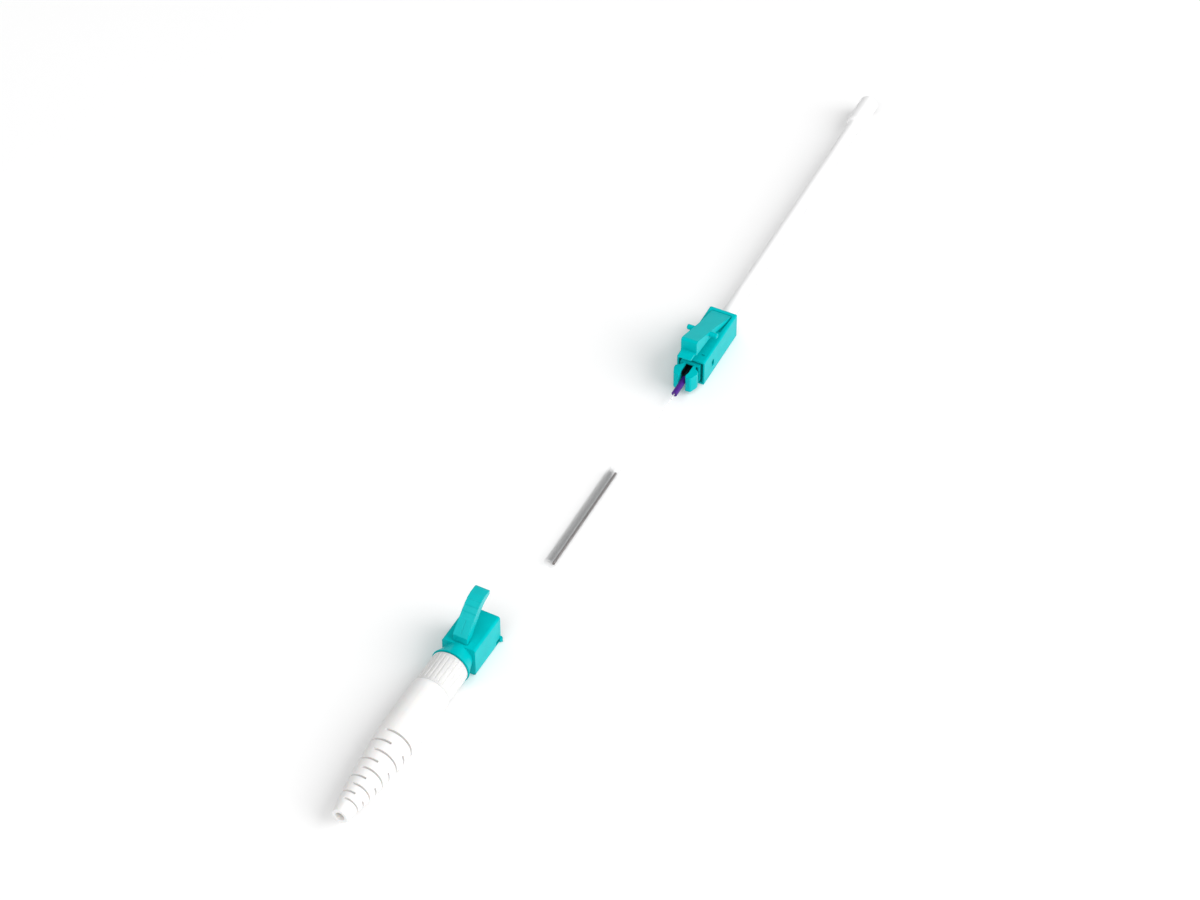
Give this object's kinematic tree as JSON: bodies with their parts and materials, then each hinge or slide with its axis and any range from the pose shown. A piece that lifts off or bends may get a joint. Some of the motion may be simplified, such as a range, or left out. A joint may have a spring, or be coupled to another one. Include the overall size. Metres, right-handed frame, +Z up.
{
  "type": "lc fibre connector",
  "caption": "Splice-on fibre connector kit: latched plug with spring-loaded ferrule, fibre stub and long dust cap, splice sleeve, and rear housing with trigger, clamp nut and slotted boot.",
  "frame": {"origin": "on the ferrule axis, in the plane of the plug housing's front face", "axes": "+X forward out of the plug along the ferrule axis, +Y to the left, +Z up towards the latch"},
  "size_m": [0.1665, 0.0109, 0.0101],
  "materials": {
    "aqua_plastic": "satin moulded plastic, aqua",
    "nut_plastic": "hard moulded plastic, greyish white",
    "boot_elastomer": "soft moulded elastomer, bright white",
    "cap_plastic": "soft moulded plastic, white",
    "zirconia": "polished ceramic, off-white",
    "nickel": "nickel-plated, satin",
    "spring_steel": "bright spring wire",
    "violet_buffer": "violet tight buffer, slightly glossy",
    "acrylate": "clear coating",
    "fibre_glass": "bare drawn glass",
    "clear_tube": "clear shrink tube",
    "melt_tube": "clear hot-melt tube",
    "rod_steel": "bright steel rod"
  },
  "bodies": {
    "root": {"front_housing": "aqua_plastic", "inner_body": "aqua_plastic", "compression_spring": "spring_steel", "sleeve_shrink_tube": "clear_tube", "sleeve_melt_tube": "melt_tube", "sleeve_steel_rod": "rod_steel", "rear_housing": "aqua_plastic"},
    "latch": {"latch_arm": "aqua_plastic"},
    "ferrule_set": {"ferrule": "zirconia", "ferrule_flange": "nickel", "buffer_tube": "violet_buffer", "fibre_coating": "acrylate", "glass_fibre": "fibre_glass"},
    "cap": {"dust_cap": "cap_plastic"},
    "trigger": {"trigger": "aqua_plastic"},
    "boot": {"strain_relief_boot": "boot_elastomer"},
    "nut": {"clamp_nut": "nut_plastic"}
  },
  "joints": [
    {"name": "latch_press", "type": "hinge", "parent": "root", "child": "latch", "pos_m": [-0.00085, 0, 0.00196], "axis": [0, -1, 0], "range_deg": [0, 7], "stiffness_Nm_per_rad": 0.15},
    {"name": "trigger_press", "type": "hinge", "parent": "root", "child": "trigger", "pos_m": [-0.0771, 0.0048, 0.00268], "axis": [0.034, 0.9994, 0], "range_deg": [0, 13], "stiffness_Nm_per_rad": 0.08},
    {"name": "ferrule_float", "type": "slide", "parent": "root", "child": "ferrule_set", "axis": [-1, 0, 0], "range_m": [0, 0.0008], "stiffness_N_per_m": 1500, "deforming": ["compression_spring"]},
    {"name": "cap_pull", "type": "slide", "parent": "root", "child": "cap", "axis": [1, 0, 0], "range_m": [0, 0.009]},
    {"name": "boot_slide", "type": "slide", "parent": "root", "child": "boot", "axis": [0.9994, -0.034, 0], "range_m": [-0.00149, 0]},
    {"name": "nut_turn", "type": "hinge", "parent": "boot", "child": "nut", "pos_m": [-0.08327, 0.00501, 0.00074], "axis": [0.9994, -0.034, 0], "range_deg": [-1080, 0]}
  ],
  "couplings": [
    {"joint": "nut_turn", "follows": "boot_slide", "rad_per_m": 12566}
  ]
}
